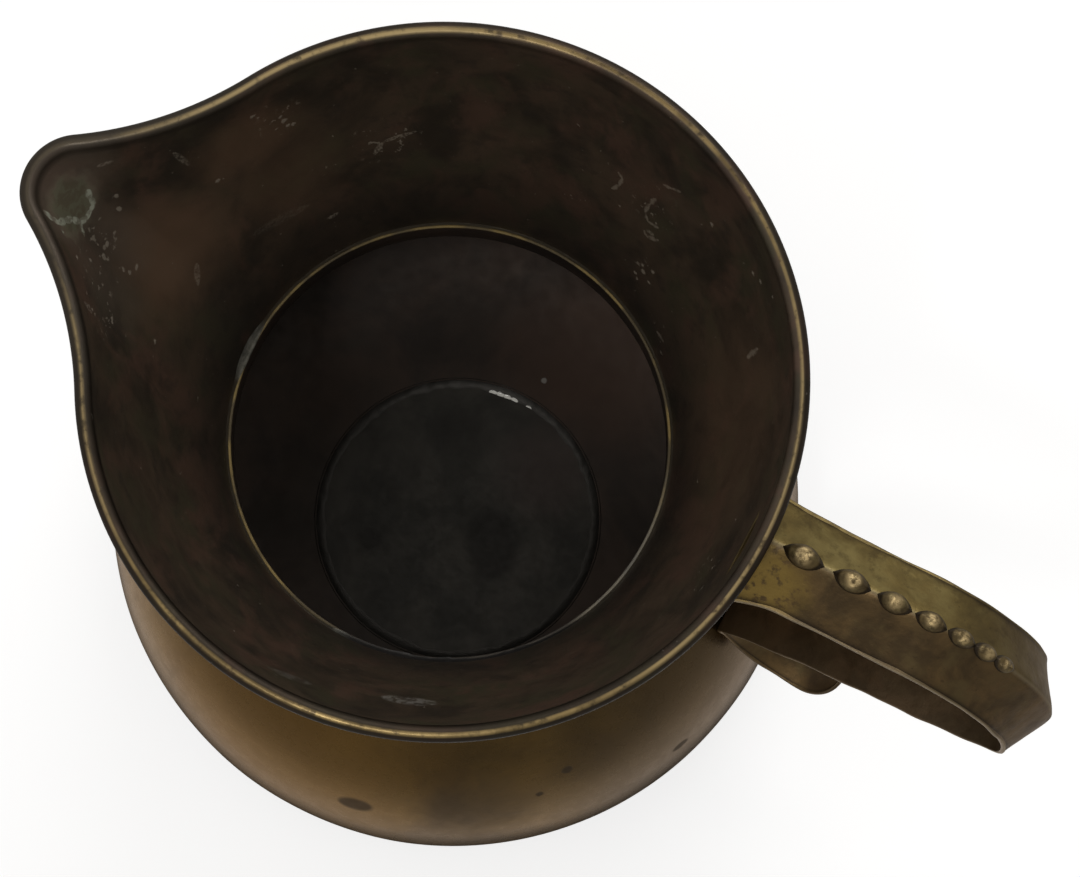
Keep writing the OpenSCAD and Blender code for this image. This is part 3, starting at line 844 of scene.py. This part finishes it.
def collar_brass():
    sh = Shader("aged brass collar")
    fine = sh.noise(4, 4, 0.6)
    colour = patina(sh, (0.046, 0.035, 0.024), (0.098, 0.067, 0.043), (0.074, 0.062, 0.036), 25)
    reddish = sh.range(sh.noise(17, 4, 0.6, 0.4, sh.stretched(1, 1, 0.6)), 0.48, 0.66)
    colour = sh.blend(sh.calc("MULTIPLY", reddish, 0.75), colour, (0.122, 0.070, 0.047))
    smudge = sh.range(sh.noise(7, 5, 0.65), 0.52, 0.70)
    colour = sh.blend(sh.calc("MULTIPLY", smudge, 0.5), colour, (0.040, 0.032, 0.024))
    low = sh.range(sh.height(), NECK_H + 6, NECK_H + 34, 1, 0)
    colour = sh.blend(sh.calc("MULTIPLY", low, 0.45), colour, (0.022, 0.020, 0.018))
    # Lighter, warmer patches in the spout and on the +x wall: painted light where these walls catch more light
    warm_painted_light = sh.most(
        sh.spot((-81, 4, 177), 17, 0.35, 0.6, 9), sh.spot((-72, 34, 196), 13, 0.4, 0.6, 8),
        sh.calc("MULTIPLY", sh.spot((-64, 35, 176), 15, 0.4, 0.6, 8), 0.6),
        sh.calc("MULTIPLY", sh.spot((67, 30, 177), 24, 0.4, 0.6, 10), 0.6),
    )
    colour = sh.blend(sh.calc("MULTIPLY", warm_painted_light, 0.75), colour, (0.172, 0.104, 0.062))
    chipped = sh.spot((-90, -10, 194), 16, 0.3, 0.5, 7)
    colour = sh.blend(sh.calc("MULTIPLY", chipped, 0.5), colour, (0.128, 0.100, 0.074))
    specks = sh.most(*[sh.spot(place, size, 0.3, 0.4) for place, size in SPECK_PLACES])
    flakes = sh.range(sh.noise(2.1, 3, 0.6), 0.61, 0.67)
    scratches = sh.most(*[
        sh.calc("MULTIPLY", sh.streak(start, end, half), strength)
        for start, end, half, strength in SCRATCHES
    ])
    pale = sh.most(
        sh.calc("MULTIPLY", sh.calc("MULTIPLY", specks, flakes), 0.75),
        sh.calc("MULTIPLY", scratches, sh.range(sh.noise(0.8, 4, 0.7), 0.36, 0.62)),
        sh.calc("MULTIPLY", sh.chips(CHIP_PLACES), 0.9),
        *[sh.calc("MULTIPLY", sh.trail(line, 0.15, 1.1, 0.5), 0.6) for line in STROKES],
        sh.calc("MULTIPLY", sh.range(sh.noise(1.7, 2), 0.73, 0.77), 0.5),
    )
    colour = sh.blend(sh.calc("MULTIPLY", pale, 0.75), colour, (0.215, 0.185, 0.140))
    smear = sh.most(
        sh.calc("MULTIPLY", sh.streak((20, -71, 178), (31, -67, 178), 3.4), 0.45),
        sh.calc("MULTIPLY", sh.streak((-7, -79, 194), (3, -77, 187), 2.2), 0.18),
    )
    smear = sh.calc("MULTIPLY", smear, sh.range(sh.noise(2.4, 4, 0.65), 0.36, 0.60, 0.1, 1.0))
    colour = sh.blend(sh.calc("MULTIPLY", smear, 0.8), colour, (0.26, 0.255, 0.235))
    # A lighter patch inside the spout's nose: painted light, which also fills the shade at the foot of the roll there
    nose = sh.spot((-104, 1, 213), 13, 0.3, 0.4, 5)
    colour = sh.blend(sh.calc("MULTIPLY", nose, 0.55), colour, (0.165, 0.128, 0.098))
    green = sh.spot((-101, -2, 207), 7.5, 0.4, 0.35, 3)
    verdigris = sh.blend(sh.range(sh.noise(3.2, 4, 0.6, 0.6), 0.42, 0.58), (0.072, 0.060, 0.032), (0.094, 0.092, 0.053))
    colour = sh.blend(sh.calc("MULTIPLY", green, 0.85), colour, verdigris)
    crust = sh.most(
        sh.trail(CRUST_LINE, 0.55), sh.trail(CRUST_SPIKE, 0.35), sh.chips([((-98.6, -9.2, 210.6), 0.5)]),
    )
    crust = sh.calc("MULTIPLY", crust, sh.range(sh.noise(1.6, 3), 0.36, 0.60, 0.25, 0.95))
    colour = sh.blend(crust, colour, (0.300, 0.310, 0.240))
    outside = sh.mark("outside")
    colour = sh.blend(outside, colour, outside_brass(sh))
    crest, flank = sh.mark("crest"), sh.mark("flank")
    near_spout = sh.range(sh.away_from((-110, 0, RIM_H)), 35, 75, 1, 0)
    # Painted shade on the roll's lower flank, milder near the spout
    colour = sh.blend(sh.calc("MULTIPLY", flank, 0.7), colour, (0.024, 0.019, 0.014))
    spout_flank_shade = sh.calc("MULTIPLY", flank, near_spout)
    colour = sh.blend(sh.calc("MULTIPLY", spout_flank_shade, 0.8), colour, (0.052, 0.043, 0.032))
    wide = sh.noise(11, 4, 0.6)
    bright = sh.blend(sh.range(wide, 0.36, 0.6), (0.150, 0.106, 0.046), (0.280, 0.200, 0.086))
    bright = sh.blend(sh.calc("MULTIPLY", near_spout, 0.9), bright, (0.066, 0.055, 0.042))
    sides = sh.most(
        sh.spot((87, 5, RIM_H), 52, 0.2, 0.4), sh.spot((-72, -48, RIM_H), 28, 0.2, 0.4),
        sh.spot((-66, 55, RIM_H), 40, 0.2, 0.4),
    )
    bright = sh.blend(sh.calc("MULTIPLY", sides, 0.75), bright, (0.420, 0.312, 0.150))
    # Bright brass on the crest: rubbed wear, and a painted highlight on the side of the roll that faces the light
    worn = sh.calc("MULTIPLY", crest, sh.range(sh.noise(3, 4, 0.6), 0.30, 0.50, 0.2, 1.0))
    colour = sh.blend(worn, colour, bright)
    rough = sh.calc("MULTIPLY_ADD", fine, 0.25, 0.36)
    rough = sh.calc("MULTIPLY_ADD", sh.most(crest, outside), -0.16, rough)
    marks = sh.calc("SUBTRACT", sh.most(green, pale, crust, smear), outside, clamp=True)
    rough = sh.calc("MULTIPLY_ADD", marks, 0.25, rough, clamp=True)
    sh.bump((fine, 0.03), (pale, 0.05), (sh.noise(0.9, 2), 0.015))
    metal = sh.calc("MULTIPLY_ADD", sh.most(flank, outside), 0.42, 0.45)
    metal = sh.calc("SUBTRACT", metal, marks, clamp=True)
    return sh.set(Base_Color=colour, Roughness=rough, Metallic=metal)


# Painted light and shade on the tail: where its up-facing back is lighter and where its end is dark
TAIL_LIT_FACET = (109, -4.5, 75)
TAIL_SHADED_END = (119, -5, 73)


def handle_brass():
    sh = Shader("aged brass handle")
    fine = sh.noise(2.6, 4, 0.6)
    back = patina(sh, (0.122, 0.088, 0.028), (0.200, 0.143, 0.045), (0.235, 0.182, 0.064), 13)
    smudge = sh.range(sh.noise(4.5, 5, 0.65), 0.52, 0.68)
    back = sh.blend(sh.calc("MULTIPLY", smudge, 0.5), back, (0.062, 0.042, 0.014))
    outer = sh.range(sh.away_from((158, 8, 185)), 12, 46, 0.7, 0)
    back = sh.blend(outer, back, (0.052, 0.034, 0.014))
    # The front facet gets a darker copy of the back's patina: painted shade on the facet turned from the light
    front = patina(sh, (0.062, 0.040, 0.018), (0.128, 0.080, 0.032), (0.104, 0.072, 0.030), 11)
    # A bright patch on the front facet near the root: painted light where the facet catches the light
    painted_light_at_root = sh.most(sh.spot((90, -8, 207), 9, 0.4, 0.5, 4), sh.spot((86, -13, 205), 6, 0.4, 0.4, 3))
    painted_light_at_root = sh.calc("MULTIPLY", painted_light_at_root, sh.range(fine, 0.34, 0.5))
    front = sh.blend(painted_light_at_root, front, (0.230, 0.153, 0.040))
    colour = sh.blend(sh.mark("front"), back, front)
    tail_lit_facet = sh.calc("MULTIPLY", sh.spot(TAIL_LIT_FACET, 5, 0.4, 0.4, 2.5), 0.8)
    colour = sh.blend(tail_lit_facet, colour, (0.210, 0.170, 0.075))
    colour = sh.blend(sh.calc("MULTIPLY", sh.spot(TAIL_SHADED_END, 7, 0.3, 0.4, 3), 0.75), colour, (0.040, 0.024, 0.012))
    pits = sh.calc("MULTIPLY", sh.range(sh.noise(1.5, 3), 0.65, 0.73), 0.35)
    colour = sh.blend(pits, colour, (0.020, 0.014, 0.008))
    below = patina(sh, (0.060, 0.037, 0.018), (0.110, 0.067, 0.034), (0.092, 0.060, 0.030), 12)
    colour = sh.blend(sh.mark("under"), colour, below)
    # Pale brass on the ridge and the backing's edges: wear, and a painted highlight
    edge = sh.calc("MULTIPLY", sh.mark("edge"), sh.range(fine, 0.20, 0.46, 0.35, 1.0))
    colour = sh.blend(edge, colour, (0.34, 0.28, 0.185))
    # Dark along the strap's edges, in the groove against the backing: grime in the joint, and painted shade
    colour = sh.blend(sh.calc("MULTIPLY", sh.mark("seam"), 0.9), colour, (0.012, 0.008, 0.005))
    rough = sh.calc("MULTIPLY_ADD", fine, 0.26, 0.28)
    sh.bump((fine, 0.10), (sh.noise(0.7, 2), 0.04))
    return sh.set(Base_Color=colour, Roughness=rough, Metallic=0.72, Specular_Tint=WARM_EDGE)


def bead_brass():
    sh = Shader("worn brass beads")
    fine = sh.noise(1.8, 4, 0.6)
    colour = patina(sh, (0.070, 0.048, 0.020), (0.130, 0.090, 0.036), (0.165, 0.124, 0.052), 3.5)
    # Pale brass on the bead tops: wear, and a painted highlight
    top = sh.calc("MULTIPLY", sh.mark("edge"), sh.range(fine, 0.36, 0.56))
    colour = sh.blend(top, colour, (0.46, 0.34, 0.165))
    # Dark round each bead's skirt, where it meets the strap: grime, and painted shade
    colour = sh.blend(sh.calc("MULTIPLY", sh.mark("seam"), 0.85), colour, (0.020, 0.013, 0.008))
    rough = sh.calc("MULTIPLY_ADD", fine, 0.25, 0.28)
    sh.bump((fine, 0.10), (sh.noise(0.6, 2), 0.04))
    return sh.set(Base_Color=colour, Roughness=rough, Metallic=0.7)


def tinned_base():
    sh = Shader("tinned floor")
    mottle = sh.noise(16, 4, 0.55, 0.3)
    fine = sh.noise(2.2, 4, 0.6)
    colour = sh.blend(sh.range(mottle, 0.36, 0.66), (0.036, 0.033, 0.027), (0.060, 0.054, 0.044))
    stains = sh.most(
        sh.streak((9, 4, 1.2), (17, -9, 1.2), 7), sh.spot((-21, -18, 1.2), 3.5, 0.4, 0.4),
        sh.calc("MULTIPLY", sh.spot((-11, 24, 1.2), 9, 0.5, 0.5), 0.6),
    )
    # A lighter, reddish area on the floor: a painted pool of light
    painted_light_pool = sh.spot((17, 26, 1.2), 13, 0.4, 0.6)
    colour = sh.blend(sh.calc("MULTIPLY", painted_light_pool, 0.6), colour, (0.070, 0.050, 0.042))
    colour = sh.blend(sh.calc("MULTIPLY", stains, 0.7), colour, (0.018, 0.015, 0.012))
    under = sh.range(sh.height(), 0.3, 0.6, 1, 0)
    brown = patina(sh, (0.06, 0.042, 0.02), (0.13, 0.09, 0.038), (0.11, 0.085, 0.04), 22)
    colour = sh.blend(under, colour, brown)
    sh.bump((mottle, 0.10), (fine, 0.012))
    rough = sh.range(fine, 0.3, 0.7, 0.46, 0.54)
    return sh.set(Base_Color=colour, Roughness=rough, Metallic=0.3, Specular_IOR_Level=0.25)


# The bright lines on the run of solder round the floor: painted glints
GLINT_LINES = [
    [(-9.7, 39.9, 1.4), (-7.4, 40.5, 1.4), (-5, 40.8, 1.4), (-2.6, 41, 1.4), (-0.4, 41.1, 1.4)],
    [(2.6, 41, 1.4), (4.4, 40.9, 1.4)],
]


def solder_grey():
    sh = Shader("old solder")
    mottle = sh.noise(2.6, 4, 0.65)
    grey = sh.blend(sh.range(mottle, 0.35, 0.65), (0.15, 0.145, 0.12), (0.32, 0.31, 0.26))
    stained = sh.blend(mottle, (0.060, 0.050, 0.038), (0.11, 0.092, 0.062))
    colour = sh.blend(sh.range(sh.mark("grey"), 0.15, 0.6), stained, grey)
    dark = sh.blend(mottle, (0.018, 0.016, 0.015), (0.046, 0.043, 0.039))
    colour = sh.blend(sh.spot(*STAINED_EDGE, 0.1, 0.15), colour, dark)
    floor_run = sh.range(sh.height(), 20, 40, 1, 0)
    floor_grey = sh.blend(mottle, (0.024, 0.021, 0.017), (0.040, 0.036, 0.030))
    colour = sh.blend(floor_run, colour, floor_grey)
    sh.bump((mottle, 0.08), (sh.noise(0.7, 2), 0.03))
    # Painted glints along these lines, where the solder is also smoother
    shine_and_painted_glint = sh.most(*[sh.trail(line, 0.3, 1.4, 0.2) for line in GLINT_LINES])
    colour = sh.blend(shine_and_painted_glint, colour, (0.42, 0.41, 0.38))
    rough = sh.calc("MULTIPLY_ADD", shine_and_painted_glint, -0.34, 0.46)
    return sh.set(Base_Color=colour, Roughness=rough, Metallic=0.6)


def wire_iron():
    sh = Shader("iron wire")
    fine = sh.noise(2, 4)
    sh.bump((fine, 0.05))
    colour = sh.blend(fine, (0.03, 0.022, 0.016), (0.09, 0.06, 0.04))
    return sh.set(Base_Color=colour, Roughness=0.5, Metallic=0.8)


# Floor, light and camera
def plain_floor():
    """A pale floor that shows white to the camera and keeps the shadow. In the metal it shows white, painted dark close
    to the can as its shadow, and dimmer far off.
    """
    bpy.ops.mesh.primitive_plane_add(size=12)
    floor = bpy.context.object
    floor.name = "floor"
    floor.location.z = -0.0002
    sh = Shader("pale floor")
    ray = sh.add("ShaderNodeLightPath")
    away = sh.away_from((0, 0, 0))
    # Painted shadow: as the metal sees it, the floor is dark close to the can and dimmer far off
    near = sh.range(away, 108, 130, 1, 0)
    far = sh.range(away, 150, 260, 0, 0.5)
    metal = sh.blend(sh.most(near, far), (0.94, 0.94, 0.94), (0.10, 0.09, 0.08))
    colour = sh.blend(ray.outputs["Is Glossy Ray"], (0.74, 0.73, 0.71), metal)
    glow = sh.calc("SUBTRACT", 0.28, sh.most(near, far), clamp=True)
    glow = sh.calc("MULTIPLY", glow, ray.outputs["Is Glossy Ray"])
    sh.set(
        Base_Color=sh.blend(ray.outputs["Is Camera Ray"], colour, (0.45, 0.45, 0.45)),
        Roughness=0.9, Specular_IOR_Level=0.1, Emission_Color=(1.0, 1.0, 1.0),
        Emission_Strength=sh.calc("MULTIPLY_ADD", ray.outputs["Is Camera Ray"], 0.70, glow),
    )
    floor.data.materials.append(sh.material)


def soft_world():
    """A room that is pale near the horizon, brighter overhead and on the -x side. The
    camera sees it white."""
    world = bpy.data.worlds.new("soft room")
    bpy.context.scene.world = world
    world.use_nodes = True
    tree = world.node_tree
    tree.nodes.clear()
    nodes, link = tree.nodes.new, tree.links.new
    out, pick = nodes("ShaderNodeOutputWorld"), nodes("ShaderNodeMixShader")
    room, white = nodes("ShaderNodeBackground"), nodes("ShaderNodeBackground")
    ray, where = nodes("ShaderNodeLightPath"), nodes("ShaderNodeTexCoord")
    split, ramp = nodes("ShaderNodeSeparateXYZ"), nodes("ShaderNodeValToRGB")
    side = nodes("ShaderNodeMath")
    for place, grey in ((0.0, 0.63), (0.22, 0.54), (0.5, 0.38), (0.8, 0.58), (1.0, 0.92)):
        stop = ramp.color_ramp.elements.new(place) if 0 < place < 1 else None
        stop = stop or ramp.color_ramp.elements[0 if place == 0 else -1]
        stop.color = (grey, grey * 0.98, grey * 0.95, 1)
    side.operation = "MULTIPLY_ADD"
    side.inputs[1].default_value = -0.27
    side.inputs[2].default_value = 0.92
    link(where.outputs["Generated"], split.inputs[0])
    link(split.outputs["Z"], ramp.inputs["Fac"])
    link(split.outputs["X"], side.inputs[0])
    link(ramp.outputs["Color"], room.inputs["Color"])
    link(side.outputs[0], room.inputs["Strength"])
    link(ray.outputs["Is Camera Ray"], pick.inputs["Fac"])
    link(room.outputs[0], pick.inputs[1])
    link(white.outputs[0], pick.inputs[2])
    link(pick.outputs[0], out.inputs["Surface"])
    white.inputs["Color"].default_value = (1, 1, 1, 1)


def lamp(name, azimuth, elevation, distance, size, share):
    """A soft square lamp aimed at the can. share is its part of a plain full light."""
    light = bpy.data.lights.new(name, "AREA")
    light.size = size
    light.energy = share * math.pi**2 * distance**2
    item = bpy.data.objects.new(name, light)
    a, e = math.radians(azimuth), math.radians(elevation)
    aim = Vector((0, 0, 0.1))
    way = Vector((math.cos(a) * math.cos(e), math.sin(a) * math.cos(e), math.sin(e)))
    item.location = aim + way * distance
    item.rotation_euler = (-way).to_track_quat("-Z", "Y").to_euler()
    bpy.context.scene.collection.objects.link(item)


CAMERA_PLACE = Vector((79.8, -122.0, 914.1)) * MM
CAMERA_LOOK = Vector((-0.0740, 0.1679, -0.9830)).normalized()
CAMERA_UP = Vector((-0.4480, 0.8751, 0.1832))
FOCAL_PIXELS = 3000
IMAGE_WIDTH = 1080


def camera():
    data = bpy.data.cameras.new("photo camera")
    data.sensor_width = 36
    data.sensor_fit = "HORIZONTAL"
    data.lens = data.sensor_width * FOCAL_PIXELS / IMAGE_WIDTH
    item = bpy.data.objects.new("photo camera", data)
    right = CAMERA_LOOK.cross(CAMERA_UP).normalized()
    up = right.cross(CAMERA_LOOK)
    turn = Matrix((right, up, -CAMERA_LOOK)).transposed()
    item.matrix_world = Matrix.Translation(CAMERA_PLACE) @ turn.to_4x4()
    bpy.context.scene.collection.objects.link(item)
    bpy.context.scene.camera = item


def paint_node(node, material):
    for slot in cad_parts[node].material_slots:
        slot.material = material


camera()
plain_floor()
soft_world()
lamp("window", 95, 48, 1.4, 0.8, 0.28)
lamp("far lamp", 272, 64, 1.3, 0.12, 0.10)
bpy.context.scene.view_settings.view_transform = "Standard"

body_piece(belly_brass())
collar_piece(collar_brass())
solder = solder_grey()
neck_solder_piece(solder)
base_solder_piece(solder)
handle_material = handle_brass()
strap_piece(handle_material)
backing_piece(handle_material)
bead_material = bead_brass()
for bead_number in range(1, 8):
    bead_piece(bead_number, bead_material)
paint_node("base", tinned_base())
paint_node("rim_wire", wire_iron())
